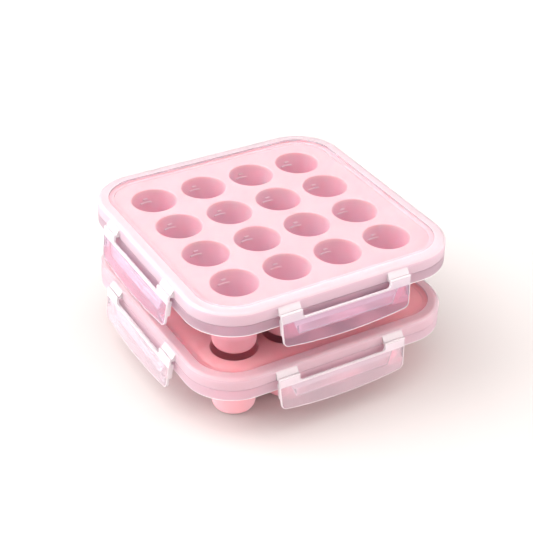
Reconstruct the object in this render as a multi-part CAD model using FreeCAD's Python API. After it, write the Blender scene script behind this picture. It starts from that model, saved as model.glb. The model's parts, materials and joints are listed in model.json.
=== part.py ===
import FreeCAD, Part
import math
import os

# A stacked pair of baby food freezer trays. Each tray is a soft silicone block of round cups whose
# deck is held in a rigid plastic frame, closed by a clear lid with four snap flaps.
# Millimetres, +Z up, origin on the ground under the middle of the stack.

# silicone tray
cup_pitch = 34.0
cups_each_way = 4
cup_mouth_radius = 13.8
cup_foot_radius = 11.2
cup_depth = 40.7
cup_wall = 1.5
cup_foot_thickness = 1.5
cup_foot_bevel = 2.2
cup_flats = 16
deck_thickness = 2.5
rim_width = 6.0
seal_width = 3.6
seal_height = 0.8

# outline that the lid and the frame share
edge_margin = 33.5
corner_radius = 30.0

# lid
lid_gap = 0.3
rim_clearance = 0.3
panel_thickness = 1.5
panel_recess = 0.8
panel_inset = 8.2
skirt_wall = 2.0
lid_height = 8.1
lid_edge_width = 3.8
lid_edge_drop = 3.6

# frame
frame_height = 7.0
shelf_thickness = 1.5
shelf_margin = 1.4

# flaps, hung on lugs of the lid
flap_width = 85.2
flap_height = 19.9
flap_thickness = 1.6
flap_taper = 1.2
flap_bow = 2.6
flap_corner_radius = 3.5
tab_width = 13.6
window_height = 4.2
window_corner_radius = 2.4
hinge_stand_off = 3.1
hinge_drop = 6.0
hinge_gap = 0.15
side_rib_width = 1.6
side_rib_depth = 1.6
side_rib_start = 3.2
hook_length = 62.0
hook_reach = 0.8
hook_tip_height = 0.8
hook_height = 5.0
hook_gap = 0.4
lug_rise = 3.3
lug_root_height = 5.0
released_lean = 6.5

# heights of one tray, from its own cup feet
deck_top = cup_foot_thickness + cup_depth
panel_bottom = deck_top + lid_gap
panel_top = panel_bottom + panel_thickness
lid_top = panel_top + panel_recess
skirt_bottom = lid_top - lid_height
frame_bottom = skirt_bottom - frame_height

# plan sizes, from the middle
grid_reach = (cups_each_way - 1) * cup_pitch / 2
half_width = grid_reach + edge_margin
rim_inset = skirt_wall + rim_clearance
rim_inner_inset = rim_inset + rim_width
hinge_x = half_width + hinge_stand_off
hinge_z = lid_top - hinge_drop

SIDES = {"right": 0, "back": 90, "left": 180, "front": 270}
UP = FreeCAD.Vector(0, 0, 1)
ALONG = FreeCAD.Vector(0, 1, 0)


def outline(inset, height):
    """The shared rounded square, drawn in by inset."""
    half = half_width - inset
    radius = corner_radius - inset
    side = Part.makeLine(
        FreeCAD.Vector(half, radius - half, height), FreeCAD.Vector(half, half - radius, height)
    )
    corner = Part.makeCircle(
        radius, FreeCAD.Vector(half - radius, half - radius, height), UP, 0, 90
    )
    edges = []
    for turn in SIDES.values():
        edges.append(side.rotated(FreeCAD.Vector(0, 0, 0), UP, turn))
        edges.append(corner.rotated(FreeCAD.Vector(0, 0, 0), UP, turn))
    return Part.Wire(edges)


def stack(*levels):
    """A solid through levels of inset and height."""
    return Part.makeLoft([outline(inset, height) for inset, height in levels], True, True)


def block(inset, low, high):
    return stack((inset, low), (inset, high))


def band(outer_inset, inner_inset, low, high):
    """A closed band between two insets of the shared outline."""
    return block(outer_inset, low, high).cut(block(inner_inset, low, high))


def prism(points, start, length):
    """A section drawn in X and Z, swept along Y."""
    corners = [FreeCAD.Vector(x, start, z) for x, z in points]
    face = Part.Face(Part.makePolygon(corners + corners[:1]))
    return face.extrude(ALONG * length)


def cup_places():
    steps = range(cups_each_way)
    return [
        (i * cup_pitch - grid_reach, j * cup_pitch - grid_reach)
        for i in steps
        for j in steps
    ]


def cup_ring(radius, height):
    """One ring of a cup: a circle drawn with flats, so that many cups stay light."""
    turn = 2 * math.pi / cup_flats
    return [
        FreeCAD.Vector(radius * math.cos(k * turn), radius * math.sin(k * turn), height)
        for k in range(cup_flats)
    ]


def taper(levels):
    """A round taper through levels of radius and height."""
    rings = [cup_ring(radius, height) for radius, height in levels]
    outlines = [rings[0], rings[-1]]
    for lower, upper in zip(rings, rings[1:]):
        for k in range(cup_flats):
            outlines.append([lower[k - 1], lower[k], upper[k], upper[k - 1]])
    faces = [Part.Face(Part.makePolygon(corners + corners[:1])) for corners in outlines]
    return Part.makeSolid(Part.makeShell(faces))


def silicone_tray():
    slope = (cup_mouth_radius - cup_foot_radius) / cup_depth
    foot = cup_foot_radius + cup_wall - slope * cup_foot_thickness
    body = taper(
        [
            (foot - cup_foot_bevel, 0),
            (foot + slope * cup_foot_bevel, cup_foot_bevel),
            (cup_mouth_radius + cup_wall, deck_top),
        ]
    )
    hollow = taper([(cup_foot_radius, cup_foot_thickness), (cup_mouth_radius, deck_top)])
    deck = block(rim_inset, deck_top - deck_thickness, deck_top)
    rim = band(rim_inset, rim_inner_inset, skirt_bottom, deck_top)
    seal = band(rim_inset, rim_inset + seal_width, deck_top, deck_top + seal_height)
    cups = []
    hollows = []
    for x, y in cup_places():
        cups.append(body.translated(FreeCAD.Vector(x, y, 0)))
        hollows.append(hollow.translated(FreeCAD.Vector(x, y, 0)))
    return deck.fuse([rim, seal] + cups).cut(hollows).removeSplitter()


def frame_ring():
    """The skirt under the lid, with a shelf on top that carries the silicone rim."""
    skirt = band(0, skirt_wall, frame_bottom, skirt_bottom)
    shelf = band(0, rim_inner_inset + shelf_margin, skirt_bottom - shelf_thickness, skirt_bottom)
    return skirt.fuse(shelf).removeSplitter()


def lid_lug(start):
    """One lug under a flap's tab, from the skirt out to the hinge."""
    root = half_width - skirt_wall / 2
    end = hinge_x - flap_thickness / 2 - hinge_gap
    top = hinge_z + flap_thickness / 2
    low = hinge_z - flap_thickness / 2
    return prism(
        [(root, top + lug_rise), (end, top), (end, low), (root, top + lug_rise - lug_root_height)],
        start,
        tab_width,
    )


def lid():
    border_bottom = lid_top - panel_thickness
    eased = 1 - math.sqrt(0.5)
    shell = stack(
        (0, skirt_bottom),
        (0, lid_top - lid_edge_drop),
        (eased * lid_edge_width, lid_top - eased * lid_edge_drop),
        (lid_edge_width, lid_top),
    )
    hollow = block(skirt_wall, skirt_bottom, border_bottom)
    panel = block(panel_inset - panel_thickness, panel_bottom, border_bottom)
    recess = stack((panel_inset + panel_recess, panel_top), (panel_inset, lid_top))
    body = shell.cut(hollow.cut(panel)).cut(recess)
    lugs = []
    for turn in SIDES.values():
        for start in (-flap_width / 2, flap_width / 2 - tab_width):
            lugs.append(lid_lug(start).rotated(FreeCAD.Vector(0, 0, 0), UP, turn))
    return body.fuse(lugs).removeSplitter()


def flap_outline(drop):
    """The flap's plate as a face in Y and Z, with its lower edge bowed down."""
    top = flap_width / 2
    low = top - flap_taper
    foot = hinge_z - drop
    x = hinge_x - flap_thickness / 2
    corners = [
        FreeCAD.Vector(x, -low, foot),
        FreeCAD.Vector(x, -top, hinge_z),
        FreeCAD.Vector(x, top, hinge_z),
        FreeCAD.Vector(x, low, foot),
    ]
    sides = [Part.makeLine(a, b) for a, b in zip(corners, corners[1:])]
    bow = Part.Arc(corners[3], FreeCAD.Vector(x, 0, foot - flap_bow), corners[0]).toShape()
    return Part.Face(Part.Wire(sides + [bow]))


def across_edges(solid, test):
    """The edges that run through the plate and pass the test on their middle."""
    found = []
    for e in solid.Edges:
        if e.BoundBox.YLength < 0.01 and e.BoundBox.ZLength < 0.01 and test(e.CenterOfMass):
            found.append(e)
    return found


def side_ribs():
    """The turned-in edges down both sides of the flap."""
    top = flap_width / 2
    low = top - flap_taper
    start = hinge_z - side_rib_start
    foot = hinge_z - flap_height + flap_corner_radius
    ribs = []
    for side in (-1, 1):
        corners = [
            FreeCAD.Vector(0, side * (top - flap_taper * side_rib_start / flap_height), start),
            FreeCAD.Vector(0, side * (low + flap_taper * flap_corner_radius / flap_height), foot),
        ]
        corners.append(corners[1] - FreeCAD.Vector(0, side * side_rib_width, 0))
        corners.append(corners[0] - FreeCAD.Vector(0, side * side_rib_width, 0))
        rib = Part.Face(Part.makePolygon(corners + corners[:1]))
        rib.translate(FreeCAD.Vector(hinge_x - flap_thickness / 2 - side_rib_depth, 0, 0))
        ribs.append(rib.extrude(FreeCAD.Vector(side_rib_depth, 0, 0)))
    return ribs


def knuckle(start):
    """The round top of one tab, on the hinge line."""
    radius = flap_thickness / 2
    ends = [
        FreeCAD.Vector(hinge_x - radius, start, hinge_z),
        FreeCAD.Vector(hinge_x, start, hinge_z + radius),
        FreeCAD.Vector(hinge_x + radius, start, hinge_z),
    ]
    wire = Part.Wire([Part.Arc(*ends).toShape(), Part.makeLine(ends[2], ends[0])])
    return Part.Face(wire).extrude(ALONG * tab_width)


def flap():
    """The flap on the right side, hanging straight down as when it is snapped shut."""
    inner = hinge_x - flap_thickness / 2
    plate = flap_outline(flap_height).extrude(FreeCAD.Vector(flap_thickness, 0, 0))
    lower = across_edges(plate, lambda p: p.z < hinge_z - flap_height / 2)
    plate = plate.makeFillet(flap_corner_radius, lower)

    opening = flap_width - 2 * tab_width
    window = Part.makeBox(
        2 * flap_thickness,
        opening,
        2 * window_height,
        FreeCAD.Vector(inner - flap_thickness / 2, -opening / 2, hinge_z - window_height),
    )
    window = window.makeFillet(
        window_corner_radius, across_edges(window, lambda p: p.z < hinge_z)
    )

    hook_top = frame_bottom - hook_gap
    tip = half_width - hook_reach
    hook = prism(
        [
            (inner, hook_top),
            (tip, hook_top),
            (tip, hook_top - hook_tip_height),
            (inner, hook_top - hook_height),
        ],
        -hook_length / 2,
        hook_length,
    )
    pieces = [hook] + side_ribs()
    for start in (-flap_width / 2, flap_width / 2 - tab_width):
        pieces.append(knuckle(start))
    return plate.cut(window).fuse(pieces).removeSplitter()


def leaning(shape, angle):
    """A flap turned out from the skirt about its hinge."""
    return shape.rotated(FreeCAD.Vector(hinge_x, 0, hinge_z), ALONG, -angle)


def save(name, shape, lift):
    placed = shape.translated(FreeCAD.Vector(0, 0, lift))
    placed.exportStep("parts/" + name + ".step")


os.makedirs("parts", exist_ok=True)
tray = silicone_tray()
ring = frame_ring()
cover = lid()
released_flap = leaning(flap(), released_lean)
for unit, lift in (("lower", 0), ("upper", panel_top)):
    save(unit + "_tray", tray, lift)
    save(unit + "_frame", ring, lift)
    save(unit + "_lid", cover, lift)
    for side, turn in SIDES.items():
        placed_flap = released_flap.rotated(FreeCAD.Vector(0, 0, 0), UP, turn)
        save(unit + "_flap_" + side, placed_flap, lift)
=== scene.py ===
import json
import math

import bmesh
import bpy
from mathutils import Matrix, Vector


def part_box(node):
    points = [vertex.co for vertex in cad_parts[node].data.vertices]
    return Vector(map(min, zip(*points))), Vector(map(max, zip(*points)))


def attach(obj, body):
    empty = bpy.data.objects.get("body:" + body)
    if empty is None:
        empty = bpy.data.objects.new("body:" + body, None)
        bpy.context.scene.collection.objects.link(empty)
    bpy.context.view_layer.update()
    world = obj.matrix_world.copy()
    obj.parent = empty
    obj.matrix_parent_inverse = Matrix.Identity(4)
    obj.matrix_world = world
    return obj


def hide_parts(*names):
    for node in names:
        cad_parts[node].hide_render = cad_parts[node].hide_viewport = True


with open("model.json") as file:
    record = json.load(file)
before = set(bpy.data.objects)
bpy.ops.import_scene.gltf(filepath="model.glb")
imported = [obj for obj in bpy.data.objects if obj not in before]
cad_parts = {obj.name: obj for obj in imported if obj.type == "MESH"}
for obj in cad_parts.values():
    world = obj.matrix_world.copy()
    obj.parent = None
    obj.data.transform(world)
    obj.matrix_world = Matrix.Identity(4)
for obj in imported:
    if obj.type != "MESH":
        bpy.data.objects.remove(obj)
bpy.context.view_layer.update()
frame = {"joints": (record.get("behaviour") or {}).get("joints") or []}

# Silicone trays: each is one soft, translucent silicone moulding, a flat deck with sixteen tapered cups
# hanging from it. The deck ends in a thick rim that is bonded onto the frame, with a low seal lip on top
# that the lid closes over.
mm = 0.001
merge_gap = 0.001 * mm
near = 0.01 * mm
touch_gap = 0.05 * mm
cup_pitch = 34 * mm
cups_each_way = 4
mouth_radius = 13.8 * mm
hollow_foot_radius = 11.2 * mm
cup_depth = 40.7 * mm
silicone_wall = 1.5 * mm
cup_steps = 64
cup_round_steps = 5
mouth_rounding = 0.7 * mm
mouth_margin = 2 * mouth_rounding
floor_rounding = 3.5 * mm
foot_rounding = 4.4 * mm
root_rounding = 1.2 * mm
root_margin = 1.6 * root_rounding
deck_thickness = 2.5 * mm
rim_width = 6.0 * mm
rim_margin = 1.5 * mm
rim_rounding = 0.35 * mm
seal_width = 3.6 * mm
seal_height = 0.8 * mm
seal_slope = 0.2 * mm
corner_radius = 30 * mm
corner_steps = 16
smooth_angle = math.radians(32)

frame_low, frame_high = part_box("lower_frame")
tray_low, tray_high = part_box("lower_tray")
stack_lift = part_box("upper_tray")[0].z - tray_low.z
units = (("lower", 0.0), ("upper", stack_lift))
half_width = frame_high.x
straight_half = half_width - corner_radius
parting_height = frame_high.z
deck_top = silicone_wall + cup_depth
deck_bottom = deck_top - deck_thickness
rim_inset = half_width - tray_high.x
grid_reach = (cups_each_way - 1) * cup_pitch / 2
cup_places = [
    Vector((i * cup_pitch - grid_reach, j * cup_pitch - grid_reach, 0))
    for i in range(cups_each_way)
    for j in range(cups_each_way)
]


def verts_in(geometry):
    return [g for g in geometry if isinstance(g, bmesh.types.BMVert)]


def edges_in(geometry):
    return [g for g in geometry if isinstance(g, bmesh.types.BMEdge)]


def draw_line(bm, points, roundings, segments=4, closed=False):
    """A line of edges through points in X and Z, each corner rounded by its own radius."""
    verts = [bm.verts.new((x, 0, z)) for x, z in points]
    pairs = list(zip(verts, verts[1:]))
    if closed:
        pairs.append((verts[-1], verts[0]))
    for pair in pairs:
        bm.edges.new(pair)
    parts = set(verts)
    for vert, radius in zip(verts, roundings):
        if radius:
            made = bmesh.ops.bevel(
                bm, geom=[vert], offset=radius, segments=segments, affect="VERTICES",
                profile=0.5, material=-1,
            )
            parts.discard(vert)
            parts.update(made["verts"])
    live = {v for v in parts if v.is_valid}
    return [e for e in bm.edges if e.is_wire and e.verts[0] in live and e.verts[1] in live]


def carry_round(bm, edges, stops):
    """Carries a drawn line, held at the right side, once round the tray's rounded square outline."""
    verts = list({v for e in edges for v in e.verts})
    bmesh.ops.translate(bm, verts=verts, vec=(0, stops[0], 0))
    centre = Vector((straight_half, straight_half, 0))
    for side in range(4):
        turn = Matrix.Rotation(side * math.pi / 2, 3, "Z")
        for start, end in zip(stops, stops[1:]):
            made = bmesh.ops.extrude_edge_only(bm, edges=edges)["geom"]
            edges = edges_in(made)
            verts = verts_in(made)
            bmesh.ops.translate(bm, verts=verts, vec=turn @ Vector((0, end - start, 0)))
        made = bmesh.ops.spin(
            bm, geom=edges + verts, cent=turn @ centre, axis=(0, 0, 1), angle=math.pi / 2,
            steps=corner_steps,
        )["geom_last"]
        edges = edges_in(made)
        verts = verts_in(made)
    bmesh.ops.remove_doubles(bm, verts=bm.verts, dist=merge_gap)


def repeat_at_cups(bm):
    """Copies all that is drawn round the middle to every cup's place."""
    first = bm.verts[:] + bm.edges[:] + bm.faces[:]
    for cup_place in cup_places[1:]:
        made = bmesh.ops.duplicate(bm, geom=first)["geom"]
        bmesh.ops.translate(bm, verts=verts_in(made), vec=cup_place)
    bmesh.ops.translate(bm, verts=verts_in(first), vec=cup_places[0])


def add_piece(name, bm, body, materials, replaced=(), lift=0.0):
    """Makes a mesh a piece of the object: placed, shaded, and riding on its body."""
    bmesh.ops.recalc_face_normals(bm, faces=bm.faces)
    mesh = bpy.data.meshes.new(name)
    bm.to_mesh(mesh)
    bm.free()
    mesh.transform(Matrix.Translation((0, 0, lift)))
    mesh.polygons.foreach_set("use_smooth", [True] * len(mesh.polygons))
    mesh.set_sharp_from_angle(angle=smooth_angle)
    for material in materials:
        mesh.materials.append(material)
    piece = bpy.data.objects.new(name, mesh)
    bpy.context.scene.collection.objects.link(piece)
    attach(piece, body)
    if replaced:
        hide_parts(*replaced)


def add_node(tree, kind, inputs=None, **settings):
    """Adds a shader node with its settings and the values of its inputs."""
    node = tree.nodes.new("ShaderNode" + kind)
    for setting, value in settings.items():
        setattr(node, setting, value)
    for socket, value in (inputs or {}).items():
        node.inputs[socket].default_value = value
    return node


def add_ramp(tree, *stops):
    """Adds a colour ramp through its stops, each a position and a colour."""
    ramp = tree.nodes.new("ShaderNodeValToRGB")
    elements = ramp.color_ramp.elements
    for index, (position, colour) in enumerate((stops[0], stops[-1])):
        elements[index].position = position
        elements[index].color = (*colour, 1)
    for position, colour in stops[1:-1]:
        elements.new(position).color = (*colour, 1)
    return ramp


def join(tree, *links):
    """Links nodes, each link given as a node and its output, then a node and its input."""
    for source, output, target, socket in links:
        tree.links.new(source.outputs[output], target.inputs[socket])


# The colour sockets of a Mix node share their names with the plain ones, so they go by number.
mix_factor = 0
mix_first = 6
mix_second = 7
mix_result = 2


def soft_silicone(name, foot_pink, wall_pink, mouth_pink, deck_pink):
    """Translucent silicone, cloudy and finely grained, in four pinks by height from the cups' feet to
    the deck, which are painted light and shade: palest on the lit deck, deeper where shade falls in the
    cups, and each tray's feet with their own painted light and shade.
    """
    silicone = bpy.data.materials.new(name)
    silicone.use_nodes = True
    tree = silicone.node_tree
    shader = tree.nodes["Principled BSDF"]
    shader.inputs["Subsurface Weight"].default_value = 0.9
    shader.inputs["Subsurface Radius"].default_value = (1.0, 0.4, 0.45)
    shader.inputs["Subsurface Scale"].default_value = 1.2 * mm
    shader.inputs["IOR"].default_value = 1.41
    shader.inputs["Specular IOR Level"].default_value = 0.2
    place = add_node(tree, "TexCoord")
    position = add_node(tree, "SeparateXYZ")
    own_height = add_node(tree, "Math", {1: stack_lift}, operation="MODULO")
    share_up = add_node(tree, "MapRange", {"From Max": deck_top})
    # Colour by height: painted shade deep in the cups and painted light on the deck.
    pinks = add_ramp(
        tree, (0.25, foot_pink), (0.56, wall_pink), (0.94, mouth_pink), (0.98, deck_pink)
    )
    clouding = add_node(tree, "TexNoise", {"Scale": 45, "Detail": 4})
    paleness = add_ramp(tree, (0.3, (0.98, 0.955, 0.965)), (0.7, (1, 1, 1)))
    clouded = add_node(tree, "Mix", {mix_factor: 1}, data_type="RGBA", blend_type="MULTIPLY")
    sheen_spread = add_node(tree, "MapRange", {"To Min": 0.46, "To Max": 0.6})
    grain = add_node(tree, "TexNoise", {"Scale": 2200, "Detail": 2})
    grain_bump = add_node(tree, "Bump", {"Strength": 0.08, "Distance": 0.05 * mm})
    join(
        tree,
        (place, "Object", clouding, "Vector"),
        (place, "Object", grain, "Vector"),
        (place, "Object", position, "Vector"),
        (position, "Z", own_height, 0),
        (own_height, "Value", share_up, "Value"),
        (share_up, "Result", pinks, "Fac"),
        (clouding, "Fac", paleness, "Fac"),
        (pinks, "Color", clouded, mix_first),
        (paleness, "Color", clouded, mix_second),
        (clouded, mix_result, shader, "Base Color"),
        (clouding, "Fac", sheen_spread, "Value"),
        (sheen_spread, "Result", shader, "Roughness"),
        (grain, "Fac", grain_bump, "Height"),
        (grain_bump, "Normal", shader, "Normal"),
    )
    return silicone


# One silicone in two copies, painted for each tray's light: the lower deeper, as shade under the upper
# tray, with feet paler where lit from below; the upper paler on its lit deck, with feet darker in shade.
silicones = {
    "lower": soft_silicone(
        "lower_silicone_painted_light_and_shade", foot_pink=(0.76, 0.42, 0.46), wall_pink=(0.94, 0.27, 0.37),
        mouth_pink=(0.97, 0.30, 0.38), deck_pink=(0.99, 0.5, 0.525),
    ),
    "upper": soft_silicone(
        "upper_silicone_painted_light_and_shade", foot_pink=(0.58, 0.27, 0.31), wall_pink=(0.99, 0.56, 0.71),
        mouth_pink=(0.91, 0.57, 0.66), deck_pink=(0.985, 0.665, 0.705),
    ),
}


def draw_cup(bm):
    """Spins one cup round the middle and widens its two open ends to its square of the deck."""
    outer_foot = hollow_foot_radius + silicone_wall
    outer_root = mouth_radius + silicone_wall
    inside = draw_line(
        bm,
        [(mouth_radius + mouth_margin, deck_top), (mouth_radius, deck_top),
         (hollow_foot_radius, silicone_wall), (0, silicone_wall)],
        [0, mouth_rounding, floor_rounding, 0],
        segments=cup_round_steps,
    )
    outside = draw_line(
        bm,
        [(0, touch_gap), (outer_foot, touch_gap), (outer_root, deck_bottom),
         (outer_root + root_margin, deck_bottom)],
        [0, foot_rounding, root_rounding, 0],
        segments=cup_round_steps,
    )
    section = inside + outside
    verts = list({v for e in section for v in e.verts})
    bmesh.ops.spin(
        bm, geom=section + verts, cent=(0, 0, 0), axis=(0, 0, 1), angle=2 * math.pi,
        steps=cup_steps, use_merge=True,
    )
    bmesh.ops.remove_doubles(bm, verts=bm.verts, dist=merge_gap)
    open_edges = [e for e in bm.edges if e.is_boundary]
    made = bmesh.ops.extrude_edge_only(bm, edges=open_edges)["geom"]
    for vert in verts_in(made):
        reach = max(abs(vert.co.x), abs(vert.co.y))
        vert.co.x *= cup_pitch / 2 / reach
        vert.co.y *= cup_pitch / 2 / reach


def silicone_tray():
    bm = bmesh.new()
    draw_cup(bm)
    repeat_at_cups(bm)
    bmesh.ops.remove_doubles(bm, verts=bm.verts, dist=near)

    outer = half_width - rim_inset
    seal_inner = outer - seal_width
    rim_inner = outer - rim_width
    seal_top = deck_top + seal_height
    rim_bottom = parting_height + touch_gap
    rim = draw_line(
        bm,
        [(seal_inner - rim_margin, deck_top), (seal_inner, deck_top),
         (seal_inner + seal_slope, seal_top), (outer, seal_top), (outer, rim_bottom),
         (rim_inner, rim_bottom), (rim_inner, deck_bottom), (rim_inner - rim_margin, deck_bottom)],
        [0] + [rim_rounding] * 6 + [0],
    )
    carry_round(bm, rim, [-straight_half, straight_half])
    for height in (deck_top, deck_bottom):
        loops = [
            e for e in bm.edges if e.is_boundary and abs(e.verts[0].co.z - height) < near
        ]
        bmesh.ops.triangle_fill(bm, use_beauty=True, use_dissolve=False, edges=loops)
    return bm


for unit, lift in units:
    add_piece(
        unit + "_silicone_tray", silicone_tray(), unit + "_base", [silicones[unit]],
        [unit + "_tray"], lift,
    )

# Fill lines: two short raised ribs on the back wall of every cup, the long one for a full portion and
# the small one above it. They are moulded with the cup; their paler pinks are a painted highlight on the
# ribs.
long_line_depth = 8.6 * mm
short_line_depth = 6.2 * mm
long_line_length = 8.0 * mm
short_line_length = 3.2 * mm
line_thickness = 0.9 * mm
line_height = 0.6 * mm
line_root = 0.2 * mm
line_rounding = 0.2 * mm
line_steps = 8
line_corner_angle = math.radians(57)


def fill_line(bm, depth, length):
    """One rib on a cup's back wall, spun about the cup's axis."""
    slope = (mouth_radius - hollow_foot_radius) / cup_depth
    radius = mouth_radius - slope * depth
    half = line_thickness / 2
    middle = deck_top - depth
    corners = [
        (radius - line_height, middle - half),
        (radius - line_height, middle + half),
        (radius + line_root, middle + half),
        (radius + line_root, middle - half),
    ]
    verts = [bm.verts.new((x, 0, z)) for x, z in corners]
    end = bm.faces.new(verts)
    sweep = length / radius
    bmesh.ops.rotate(
        bm, verts=verts, cent=(0, 0, 0), matrix=Matrix.Rotation(math.pi / 2 - sweep / 2, 3, "Z")
    )
    bmesh.ops.spin(
        bm, geom=[end] + list(end.edges) + verts, cent=(0, 0, 0), axis=(0, 0, 1), angle=sweep,
        steps=line_steps,
    )


def fill_lines():
    bm = bmesh.new()
    fill_line(bm, long_line_depth, long_line_length)
    fill_line(bm, short_line_depth, short_line_length)
    edges = [e for e in bm.edges if not e.is_boundary and e.calc_face_angle(0) > line_corner_angle]
    bmesh.ops.bevel(
        bm, geom=edges, offset=line_rounding, segments=1, affect="EDGES", profile=0.5, material=-1
    )
    repeat_at_cups(bm)
    return bm


# Paler pinks than the cups: a painted highlight where the light catches the ribs.
line_silicone_painted_highlight = soft_silicone(
    "line_silicone_painted_highlight", foot_pink=(0.97, 0.6, 0.7), wall_pink=(0.98, 0.72, 0.8),
    mouth_pink=(0.985, 0.78, 0.84), deck_pink=(0.99, 0.8, 0.85),
)
for unit, lift in units:
    add_piece(
        unit + "_fill_lines", fill_lines(), unit + "_base", [line_silicone_painted_highlight], lift=lift
    )

# Frames: a rigid skirt of frosted polypropylene under each lid, moulded in one with a flat shelf on top
# that carries the silicone rim. Its lower edge is rounded, and a whiter plastic on its lowest band
# paints a highlight along it; a fine parting line shows where the lid meets it.
skirt_wall = 2.0 * mm
shelf_thickness = 1.5 * mm
shelf_reach = 9.7 * mm
edge_rounding = 0.6 * mm
inner_corner_rounding = 0.6 * mm
parting_rounding = 0.3 * mm
shelf_rounding = 0.45 * mm
bright_edge_height = 0.8 * mm
bright_edge_slot = 1
smoothest_share = 0.8
frostiest_share = 1.25
darkest_share = 0.985


def moulded_plastic(name, tint, clearness, roughness, bending=1.49, ripple_height=0.1 * mm):
    """Clear to frosted polypropylene, with a soft swirl in its frosting from the moulding flow."""
    plastic = bpy.data.materials.new(name)
    plastic.use_nodes = True
    tree = plastic.node_tree
    shader = tree.nodes["Principled BSDF"]
    shader.inputs["Transmission Weight"].default_value = clearness
    shader.inputs["IOR"].default_value = bending
    place = add_node(tree, "TexCoord")
    flow = add_node(tree, "TexNoise", {"Scale": 28, "Detail": 5, "Distortion": 0.6})
    frosting = add_node(
        tree, "MapRange",
        {"To Min": roughness * smoothest_share, "To Max": roughness * frostiest_share},
    )
    tints = add_ramp(tree, (0, [c * darkest_share for c in tint]), (1, tint))
    orange_peel = add_node(tree, "TexNoise", {"Scale": 420})
    ripple = add_node(tree, "Bump", {"Strength": 0.07, "Distance": ripple_height})
    join(
        tree,
        (place, "Object", flow, "Vector"),
        (place, "Object", orange_peel, "Vector"),
        (flow, "Fac", frosting, "Value"),
        (flow, "Fac", tints, "Fac"),
        (frosting, "Result", shader, "Roughness"),
        (tints, "Color", shader, "Base Color"),
        (orange_peel, "Fac", ripple, "Height"),
        (ripple, "Normal", shader, "Normal"),
    )
    return plastic


# Each unit's copy of the frame plastic is tinted dark mauve as painted shade, the upper one darker.
frame_plastics = {
    "lower": moulded_plastic(
        "lower_frame_plastic_painted_shade", tint=(0.75, 0.56, 0.635), clearness=0.64, roughness=0.4
    ),
    "upper": moulded_plastic(
        "upper_frame_plastic_painted_shade", tint=(0.57, 0.41, 0.485), clearness=0.68, roughness=0.4
    ),
}
# A whiter, cloudier plastic for the skirt's lowest band: a painted highlight along the edge.
foot_edge_plastic = moulded_plastic(
    "foot_edge_plastic_painted_highlight", tint=(0.88, 0.84, 0.86), clearness=0.2, roughness=0.35
)


def frame_ring():
    bm = bmesh.new()
    bottom = frame_low.z
    bright_top = bottom + bright_edge_height
    top = parting_height - touch_gap
    section = draw_line(
        bm,
        [(half_width, top), (half_width, bright_top), (half_width, bottom),
         (half_width - skirt_wall, bottom), (half_width - skirt_wall, top - shelf_thickness),
         (half_width - shelf_reach, top - shelf_thickness), (half_width - shelf_reach, top)],
        [parting_rounding, 0, edge_rounding, edge_rounding, inner_corner_rounding,
         shelf_rounding, shelf_rounding],
        closed=True,
    )
    carry_round(bm, section, [-straight_half, straight_half])
    # The lowest band of the skirt takes the painted highlight.
    for face in bm.faces:
        if max(v.co.z for v in face.verts) < bright_top + near:
            face.material_index = bright_edge_slot
    return bm


for unit, lift in units:
    add_piece(
        unit + "_frame_ring", frame_ring(), unit + "_base",
        [frame_plastics[unit], foot_edge_plastic], [unit + "_frame"], lift,
    )

# Lids: thin covers moulded in clear polypropylene, with a softly rounded border and a frosted skirt,
# whose darker mauve tint is painted shade. The middle is a shallow flat recess in which the cups of the
# next tray stand, and eight lugs on the skirt carry the flaps; a whiter plastic on the lugs is a painted
# highlight.
panel_thickness = 1.5 * mm
panel_recess = 0.8 * mm
panel_inset = 8.2 * mm
panel_margin = 4 * mm
border_rounding = 2.5 * mm
step_width = 3.0 * mm
step_rounding = 0.8 * mm
step_offset = 0.4 * mm
step_margin = 0.3 * mm
lid_round_steps = 10
tab_width = 13.6 * mm
flap_width = 85.2 * mm
flap_thickness = 1.6 * mm
hinge_gap = 0.15 * mm
lug_root_low = 1.28 * mm
lug_root_angle = math.radians(9)
lug_wall_depth = 0.6 * mm
lug_margin = 0.1 * mm
steepest_border = 0.45
panel_slot = 1
lug_slot = 2
skirt_slot = 3
step_slot = 4

lid_low, lid_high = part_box("lower_lid")
right_hinge = next(j for j in frame["joints"] if j["child"] == "lower_flap_right")
hinge_x, _, hinge_z = right_hinge["pos_m"]
tab_outer = flap_width / 2
tab_inner = tab_outer - tab_width
recess_edge = half_width - panel_inset
step_inner = recess_edge - step_width / 2
step_outer = recess_edge + step_width / 2
# Per-unit copies of the lid plastic, tinted and clouded apart to paint each unit's light and shade.
lid_plastics = {
    "lower": moulded_plastic(
        "lower_lid_plastic_painted_light_and_shade", tint=(0.985, 0.87, 0.90), clearness=0.84, roughness=0.3, bending=1.35
    ),
    "upper": moulded_plastic(
        "upper_lid_plastic_painted_light_and_shade", tint=(0.96, 0.865, 0.885), clearness=0.72, roughness=0.3, bending=1.35
    ),
}
# The panels bend light less than real plastic does, which keeps mirror images off the cups below. Each
# unit has its own copy; the upper one's grey tint is painted shade on the cups and deck beneath it.
panel_plastics = {
    "lower": moulded_plastic(
        "lower_panel_plastic_painted_light", tint=(0.97, 0.915, 0.925), clearness=0.98, roughness=0.06,
        bending=1.06, ripple_height=0.005 * mm,
    ),
    "upper": moulded_plastic(
        "upper_panel_plastic_painted_shade", tint=(0.83, 0.785, 0.795), clearness=0.97, roughness=0.06,
        bending=1.06, ripple_height=0.005 * mm,
    ),
}
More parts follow.
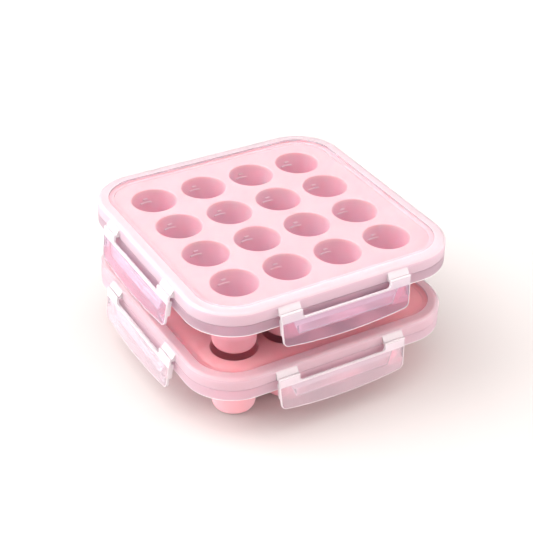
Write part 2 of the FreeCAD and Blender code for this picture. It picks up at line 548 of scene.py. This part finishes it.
# Darker mauve copies for the lids' steep faces: painted shade on the skirt and the border's lower
# rounding.
lid_skirt_plastics = {
    "lower": moulded_plastic(
        "lower_skirt_plastic_painted_shade", tint=(0.82, 0.64, 0.705), clearness=0.62, roughness=0.4
    ),
    "upper": moulded_plastic(
        "upper_skirt_plastic_painted_shade", tint=(0.80, 0.64, 0.71), clearness=0.62, roughness=0.4
    ),
}
# A whiter, cloudier plastic for the lid's lugs and the flaps' rims and rounded faces: a painted
# highlight.
edge_plastic = moulded_plastic(
    "edge_plastic_painted_highlight", tint=(0.76, 0.71, 0.73), clearness=0.4, roughness=0.4
)
step_plastic = moulded_plastic(
    "clear_step_plastic", tint=(0.94, 0.90, 0.915), clearness=0.99, roughness=0.12, bending=1.22
)


def lid_shell(bm):
    """Carries the lid's border and skirt round the outline and closes the panel between them."""
    top = lid_high.z
    bottom = lid_low.z + touch_gap
    panel_top = top - panel_recess - touch_gap
    panel_bottom = panel_top - panel_thickness + touch_gap
    border_bottom = top - panel_thickness
    section = draw_line(
        bm,
        [(recess_edge - panel_margin, panel_top), (step_inner, panel_top), (step_outer, top),
         (half_width, top), (half_width, lid_low.z + lug_root_low), (half_width, bottom),
         (half_width - skirt_wall, bottom), (half_width - skirt_wall, border_bottom),
         (step_outer + step_offset, border_bottom), (step_inner + step_offset, panel_bottom),
         (recess_edge - panel_margin, panel_bottom)],
        [0, step_rounding, step_rounding, border_rounding, 0, edge_rounding, edge_rounding,
         step_rounding, step_rounding, step_rounding, 0],
        segments=lid_round_steps,
    )
    carry_round(
        bm, section, [-straight_half, -tab_outer, -tab_inner, tab_inner, tab_outer, straight_half]
    )
    bmesh.ops.holes_fill(bm, edges=[e for e in bm.edges if e.is_boundary], sides=0)
    bmesh.ops.recalc_face_normals(bm, faces=bm.faces)


def lid_lugs(bm):
    """Pulls two lugs out of each side of the skirt, up to the flaps' knuckles."""
    root_low = lid_low.z + lug_root_low
    root_high = lid_high.z - border_rounding * (1 - math.sin(lug_root_angle))
    lug_low = hinge_z - flap_thickness / 2
    lug_high = hinge_z + flap_thickness / 2
    lug_end = hinge_x - flap_thickness / 2 - hinge_gap
    for side in range(4):
        for low, high in ((-tab_outer, -tab_inner), (tab_inner, tab_outer)):
            roots = []
            for face in bm.faces:
                middle = face.calc_center_median()
                on_wall = middle.x > half_width - lug_wall_depth
                on_tab = low < middle.y < high
                if on_wall and on_tab and root_low < middle.z < root_high:
                    roots.append(face)
            made = bmesh.ops.extrude_face_region(bm, geom=roots)["geom"]
            bmesh.ops.delete(bm, geom=roots, context="FACES")
            for vert in verts_in(made):
                share = (vert.co.z - root_low) / (root_high - root_low)
                vert.co.x = lug_end
                vert.co.z = lug_low + share * (lug_high - lug_low)
        bmesh.ops.rotate(
            bm, verts=bm.verts, cent=(0, 0, 0), matrix=Matrix.Rotation(math.pi / 2, 3, "Z")
        )


def clear_lid():
    bm = bmesh.new()
    lid_shell(bm)
    lid_lugs(bm)
    # The lugs take the painted highlight and the steep faces the painted shade of the skirt plastic.
    for face in bm.faces:
        reach = straight_half + max(
            math.hypot(max(abs(v.co.x) - straight_half, 0), max(abs(v.co.y) - straight_half, 0))
            for v in face.verts
        )
        if reach < step_inner - step_margin:
            face.material_index = panel_slot
        elif reach < step_outer:
            face.material_index = step_slot
        elif reach > half_width + lug_margin:
            face.material_index = lug_slot
        elif face.normal.z < steepest_border:
            face.material_index = skirt_slot
    return bm


for unit, lift in units:
    add_piece(
        unit + "_clear_lid", clear_lid(), unit + "_lid",
        [lid_plastics[unit], panel_plastics[unit], edge_plastic, lid_skirt_plastics[unit],
         step_plastic],
        [unit + "_lid"], lift,
    )

# Snap flaps: clear plates of the lid's own plastic, hanging from it by a thin web at each of two tabs,
# with a window between the tabs. A hook across the back catches under the frame, and both sides are
# turned in to stiffen the plate. The webs are left out, as a narrow gap between lug and knuckle.
flap_height = 19.9 * mm
flap_taper = 1.2 * mm
flap_bow = 2.6 * mm
bow_cuts = 15
flap_corner = 3.5 * mm
window_height = 4.2 * mm
window_corner = 2.4 * mm
flap_corner_steps = 6
knuckle_fullness = 0.98
knuckle_rounding = flap_thickness / 2 * knuckle_fullness
knuckle_steps = 5
rib_width = 1.6 * mm
rib_depth = 1.6 * mm
rib_start = 3.2 * mm
hook_half = 31 * mm
hook_gap = 0.4 * mm
hook_depth = 3.1 * mm
hook_tip = 0.8 * mm
hook_height = 5.0 * mm
hook_end_slope = 3.0 * mm
flap_edge_rounding = 0.3 * mm
flap_edge_angle = math.radians(35)
flap_rim = 0.45 * mm
pad_depth = 1.0 * mm
pad_drop = 0.9 * mm
pad_flare = 4.0 * mm
pad_margin = 0.05 * mm
flat_facing = 0.95
same_height = 0.0001 * mm
rim_slot = 1
frosted_slot = 2

released_lean = -right_hinge["range_deg"][0]
flap_inner = hinge_x - flap_thickness / 2
flap_outer = hinge_x + flap_thickness / 2
flap_half = flap_width / 2
foot_half = flap_half - flap_taper
flap_foot = hinge_z - flap_height
knuckle_top = hinge_z + flap_thickness / 2
window_sill = hinge_z - window_height
hook_top = frame_low.z - hook_gap
hook_bottom = hook_top - hook_height
pad_top = window_sill - pad_drop
rib_top = hinge_z - rib_start
rib_bottom = flap_foot + flap_corner
# Per-unit copies of the flap plastic: the upper one tinted lilac as painted shade, the lower one paler
# as painted light.
flap_plastics = {
    "lower": moulded_plastic(
        "lower_flap_plastic_painted_light", tint=(0.975, 0.87, 0.945), clearness=0.88, roughness=0.24,
        bending=1.42, ripple_height=0.04 * mm,
    ),
    "upper": moulded_plastic(
        "upper_flap_plastic_painted_shade", tint=(0.95, 0.72, 0.89), clearness=0.92, roughness=0.24,
        bending=1.38, ripple_height=0.04 * mm,
    ),
}
# Per-unit copies of the hook plastic: the upper one darker as painted shade, the lower one paler as
# painted light.
hook_plastics = {
    "lower": moulded_plastic(
        "lower_hook_plastic_painted_light", tint=(0.965, 0.89, 0.93), clearness=0.62, roughness=0.4
    ),
    "upper": moulded_plastic(
        "upper_hook_plastic_painted_shade", tint=(0.92, 0.85, 0.91), clearness=0.66, roughness=0.4
    ),
}


def cut_across(bm, point, normal):
    """Draws a cut line across the whole plate without opening it."""
    bmesh.ops.bisect_plane(
        bm, geom=bm.verts[:] + bm.edges[:] + bm.faces[:], plane_co=point, plane_no=normal
    )


def faces_at(bm, depth):
    """The faces that lie flat at a depth, measured along X."""
    return [f for f in bm.faces if abs(f.calc_center_median().x - depth) < near]


def raise_inwards(bm, depth, height, test):
    """Pulls the part of a flat back that passes a test inwards and returns the new vertices."""
    faces = [f for f in faces_at(bm, depth) if test(f.calc_center_median())]
    made = bmesh.ops.extrude_face_region(bm, geom=faces)["geom"]
    bmesh.ops.delete(bm, geom=faces, context="FACES")
    verts = verts_in(made)
    bmesh.ops.translate(bm, verts=verts, vec=(-height, 0, 0))
    return verts


def in_pad(p):
    rise = (p.z - hook_bottom) / (window_sill - hook_bottom)
    return abs(p.y) < hook_half + pad_flare * rise and hook_bottom < p.z < pad_top


def in_hook(p):
    return in_pad(p) and p.z < hook_top


def in_rib(p):
    edge = flap_half - flap_taper * (hinge_z - p.z) / flap_height
    return abs(p.y) > edge - rib_width and rib_bottom < p.z < rib_top


def flap_plate(bm):
    """The flat plate with its window, bowed foot, rounded knuckles and a rim strip that takes the
    painted highlight.
    """
    corners = [
        (-flap_half, knuckle_top), (-tab_inner, knuckle_top), (-tab_inner, window_sill),
        (tab_inner, window_sill), (tab_inner, knuckle_top), (flap_half, knuckle_top),
        (foot_half, flap_foot), (-foot_half, flap_foot),
    ]
    verts = [bm.verts.new((flap_outer, y, z)) for y, z in corners]
    bm.faces.new(verts)
    for rounded, radius in ((verts[2:4], window_corner), (verts[6:8], flap_corner)):
        bmesh.ops.bevel(
            bm, geom=rounded, offset=radius, segments=flap_corner_steps, affect="VERTICES",
            profile=0.5, material=-1,
        )
    foot_edges = [
        e for e in bm.edges if all(abs(v.co.z - flap_foot) < same_height for v in e.verts)
    ]
    bmesh.ops.subdivide_edges(bm, edges=foot_edges, cuts=bow_cuts)
    straight_end = foot_half - flap_corner
    for vert in bm.verts:
        if abs(vert.co.z - flap_foot) < same_height:
            vert.co.z -= flap_bow * (1 - (vert.co.y / straight_end) ** 2)
    made = bmesh.ops.extrude_face_region(bm, geom=bm.faces[:])["geom"]
    bmesh.ops.translate(bm, verts=verts_in(made), vec=(flap_inner - flap_outer, 0, 0))

    knuckles = []
    for edge in bm.edges:
        at_top = all(abs(v.co.z - knuckle_top) < same_height for v in edge.verts)
        along = abs(edge.verts[0].co.y - edge.verts[1].co.y) > 1 * mm
        if at_top and along:
            knuckles.append(edge)
    bmesh.ops.bevel(
        bm, geom=knuckles, offset=knuckle_rounding, segments=knuckle_steps, affect="EDGES",
        profile=0.5, material=-1,
    )
    front = faces_at(bm, flap_outer)
    bmesh.ops.inset_region(bm, faces=front, thickness=flap_rim, depth=0, use_even_offset=True)
    for face in faces_at(bm, flap_outer):
        if face not in front:
            face.material_index = rim_slot


def flap_back(bm):
    """The frosted pad, the hook below it and the turned-in sides, raised from the plate's back."""
    for height in (pad_top, hook_top, hook_bottom, rib_top, rib_bottom):
        cut_across(bm, (0, 0, height), (0, 0, 1))
    for side in (-1, 1):
        flare = Vector((0, window_sill - hook_bottom, -side * pad_flare)).normalized()
        cut_across(bm, (0, side * hook_half, hook_bottom), flare)
        rib_edge = Vector((0, side * (flap_half - rib_width), hinge_z))
        slant = Vector((0, flap_height, side * flap_taper)).normalized()
        cut_across(bm, rib_edge, slant)
    raise_inwards(bm, flap_inner, pad_depth, in_pad)
    for vert in raise_inwards(bm, flap_inner - pad_depth, hook_depth - pad_depth, in_hook):
        vert.co.y = math.copysign(min(abs(vert.co.y), hook_half), vert.co.y)
        if vert.co.z < hook_top - near:
            vert.co.z = hook_top - hook_tip
            vert.co.y -= math.copysign(hook_end_slope, vert.co.y)
    raise_inwards(bm, flap_inner, rib_depth, in_rib)
    bmesh.ops.remove_doubles(bm, verts=bm.verts, dist=2 * merge_gap)
    bmesh.ops.recalc_face_normals(bm, faces=bm.faces)


def snap_flap(turn):
    bm = bmesh.new()
    flap_plate(bm)
    flap_back(bm)
    sharp = [e for e in bm.edges if e.is_manifold and e.calc_face_angle(0) > flap_edge_angle]
    bmesh.ops.bevel(
        bm, geom=sharp, offset=flap_edge_rounding, segments=2, affect="EDGES", profile=0.5,
        material=-1, clamp_overlap=True,
    )
    bmesh.ops.recalc_face_normals(bm, faces=bm.faces)
    # The rim strip and every rounded or side face take the painted highlight; the pad and the flat plate
    # above it take the cloudier hook plastic.
    for face in bm.faces:
        middle = face.calc_center_median()
        flat = abs(face.normal.x) > flat_facing
        if middle.x < flap_inner - pad_margin and in_pad(middle):
            face.material_index = frosted_slot
        elif flat and pad_top < middle.z and face.material_index == 0:
            face.material_index = frosted_slot
        elif not flat:
            face.material_index = rim_slot
    lean = Matrix.Rotation(math.radians(-released_lean), 4, "Y")
    hinge = Matrix.Translation((hinge_x, 0, hinge_z))
    placed = Matrix.Rotation(math.radians(turn), 4, "Z") @ hinge @ lean @ hinge.inverted()
    bmesh.ops.transform(bm, verts=bm.verts, matrix=placed)
    return bm


for unit, lift in units:
    for side, turn in (("right", 0), ("back", 90), ("left", 180), ("front", 270)):
        node = unit + "_flap_" + side
        add_piece(
            unit + "_snap_flap_" + side, snap_flap(turn), node,
            [flap_plastics[unit], edge_plastic, hook_plastics[unit]], [node], lift,
        )

# The set: a matt off-white floor, three soft lights and the camera, which looks down on the near corner
# from the left. The bright sky is darker in a band at middle heights and in a patch behind the trays, so
# that the lids mirror less of it.
floor_colour = (0.55, 0.525, 0.51)
floor_reach = 6
floor_bm = bmesh.new()
bmesh.ops.create_grid(floor_bm, x_segments=1, y_segments=1, size=floor_reach)
floor_mesh = bpy.data.meshes.new("floor")
floor_bm.to_mesh(floor_mesh)
floor_bm.free()
floor = bpy.data.objects.new("floor", floor_mesh)
bpy.context.scene.collection.objects.link(floor)
floor_paint = bpy.data.materials.new("floor_paint")
floor_paint.use_nodes = True
floor_shader = floor_paint.node_tree.nodes["Principled BSDF"]
floor_shader.inputs["Base Color"].default_value = (*floor_colour, 1)
floor_shader.inputs["Roughness"].default_value = 0.9
floor_shader.inputs["Specular IOR Level"].default_value = 0.1
floor_mesh.materials.append(floor_paint)

bright_side = Vector((-0.58, 0.5, 0.64)).normalized()
dark_side = Vector((0.43, 0.72, 0.55)).normalized()
full_light = (1, 1, 1)
band_light = (0.35, 0.35, 0.35)
world = bpy.data.worlds.new("studio")
bpy.context.scene.world = world
world.use_nodes = True
sky = world.node_tree
background = sky.nodes["Background"]
sky_place = add_node(sky, "TexCoord")
sky_height = add_node(sky, "SeparateXYZ")
sky_side = add_node(sky, "VectorMath", {1: bright_side}, operation="DOT_PRODUCT")
sky_fall = add_node(
    sky, "MapRange", {"From Min": 0.25, "From Max": 1, "To Min": 2.15, "To Max": 3.0},
    interpolation_type="SMOOTHSTEP",
)
sky_flag = add_node(sky, "VectorMath", {1: dark_side}, operation="DOT_PRODUCT")
sky_shade = add_node(
    sky, "MapRange", {"From Min": 0.75, "From Max": 0.95, "To Min": 1.0, "To Max": 0.06},
    interpolation_type="SMOOTHSTEP",
)
sky_level = add_node(sky, "Math", operation="MULTIPLY")
sky_band = add_ramp(
    sky, (0.08, full_light), (0.2, band_light), (0.5, band_light), (0.72, full_light)
)
banded_sky = add_node(sky, "Math", operation="MULTIPLY")
low_sky = add_node(
    sky, "MapRange", {"From Min": 0, "From Max": 0.3, "To Min": 2.5, "To Max": 0},
    interpolation_type="SMOOTHSTEP",
)
sky_total = add_node(sky, "Math", operation="ADD")
sky_tint = add_ramp(sky, (0.3, (1.0, 0.93, 0.92)), (0.8, (0.98, 0.99, 1.0)))
join(
    sky,
    (sky_place, "Generated", sky_side, 0),
    (sky_side, "Value", sky_fall, "Value"),
    (sky_side, "Value", sky_tint, "Fac"),
    (sky_place, "Generated", sky_flag, 0),
    (sky_flag, "Value", sky_shade, "Value"),
    (sky_fall, "Result", sky_level, 0),
    (sky_shade, "Result", sky_level, 1),
    (sky_place, "Generated", sky_height, 0),
    (sky_height, "Z", low_sky, "Value"),
    (sky_height, "Z", sky_band, "Fac"),
    (sky_level, "Value", banded_sky, 0),
    (sky_band, "Color", banded_sky, 1),
    (banded_sky, "Value", sky_total, 0),
    (low_sky, "Result", sky_total, 1),
    (sky_total, "Value", background, "Strength"),
    (sky_tint, "Color", background, "Color"),
)


def soft_light(name, place, target, size, power, colour, mirrored):
    """A square studio light aimed at a point. One that isn't mirrored shows in no reflection."""
    lamp = bpy.data.lights.new(name, "AREA")
    lamp.shape = "SQUARE"
    lamp.size = size
    lamp.energy = power
    lamp.color = colour
    holder = bpy.data.objects.new(name, lamp)
    holder.visible_glossy = mirrored
    bpy.context.scene.collection.objects.link(holder)
    aim = (Vector(target) - Vector(place)).to_track_quat("-Z", "Y")
    holder.matrix_world = Matrix.Translation(place) @ aim.to_matrix().to_4x4()


soft_light(
    "key", place=(-1.1, 0.5, 1.2), target=(0, 0, 0.05), size=1.2, power=11.5,
    colour=(1.0, 0.99, 0.98), mirrored=True,
)
soft_light(
    "left_wall", place=(-1.15, 0.6, 0.45), target=(0, 0, 0.04), size=1.3, power=15,
    colour=(1.0, 0.98, 0.98), mirrored=False,
)
soft_light(
    "fill", place=(1.0, -0.75, 0.28), target=(0, 0, 0.04), size=0.8, power=7.8,
    colour=(1.0, 0.97, 0.97), mirrored=False,
)

camera_place = Vector((-0.34155, -0.57438, 0.48921))
camera_heading = -30.717
camera_dip = 33.225
camera_roll = 1.339
focal_pixels = 1297.94
frame_pixels = 533
sensor_width = 36
lens = bpy.data.cameras.new("camera")
lens.sensor_width = sensor_width
lens.lens = sensor_width * focal_pixels / frame_pixels
camera = bpy.data.objects.new("camera", lens)
bpy.context.scene.collection.objects.link(camera)
camera.matrix_world = (
    Matrix.Translation(camera_place)
    @ Matrix.Rotation(math.radians(camera_heading), 4, "Z")
    @ Matrix.Rotation(math.radians(90 - camera_dip), 4, "X")
    @ Matrix.Rotation(math.radians(camera_roll), 4, "Z")
)
bpy.context.scene.camera = camera
bpy.context.scene.view_settings.view_transform = "Standard"
bounces = bpy.context.scene.cycles
bounces.max_bounces = 24
bounces.glossy_bounces = 16
bounces.transmission_bounces = 24
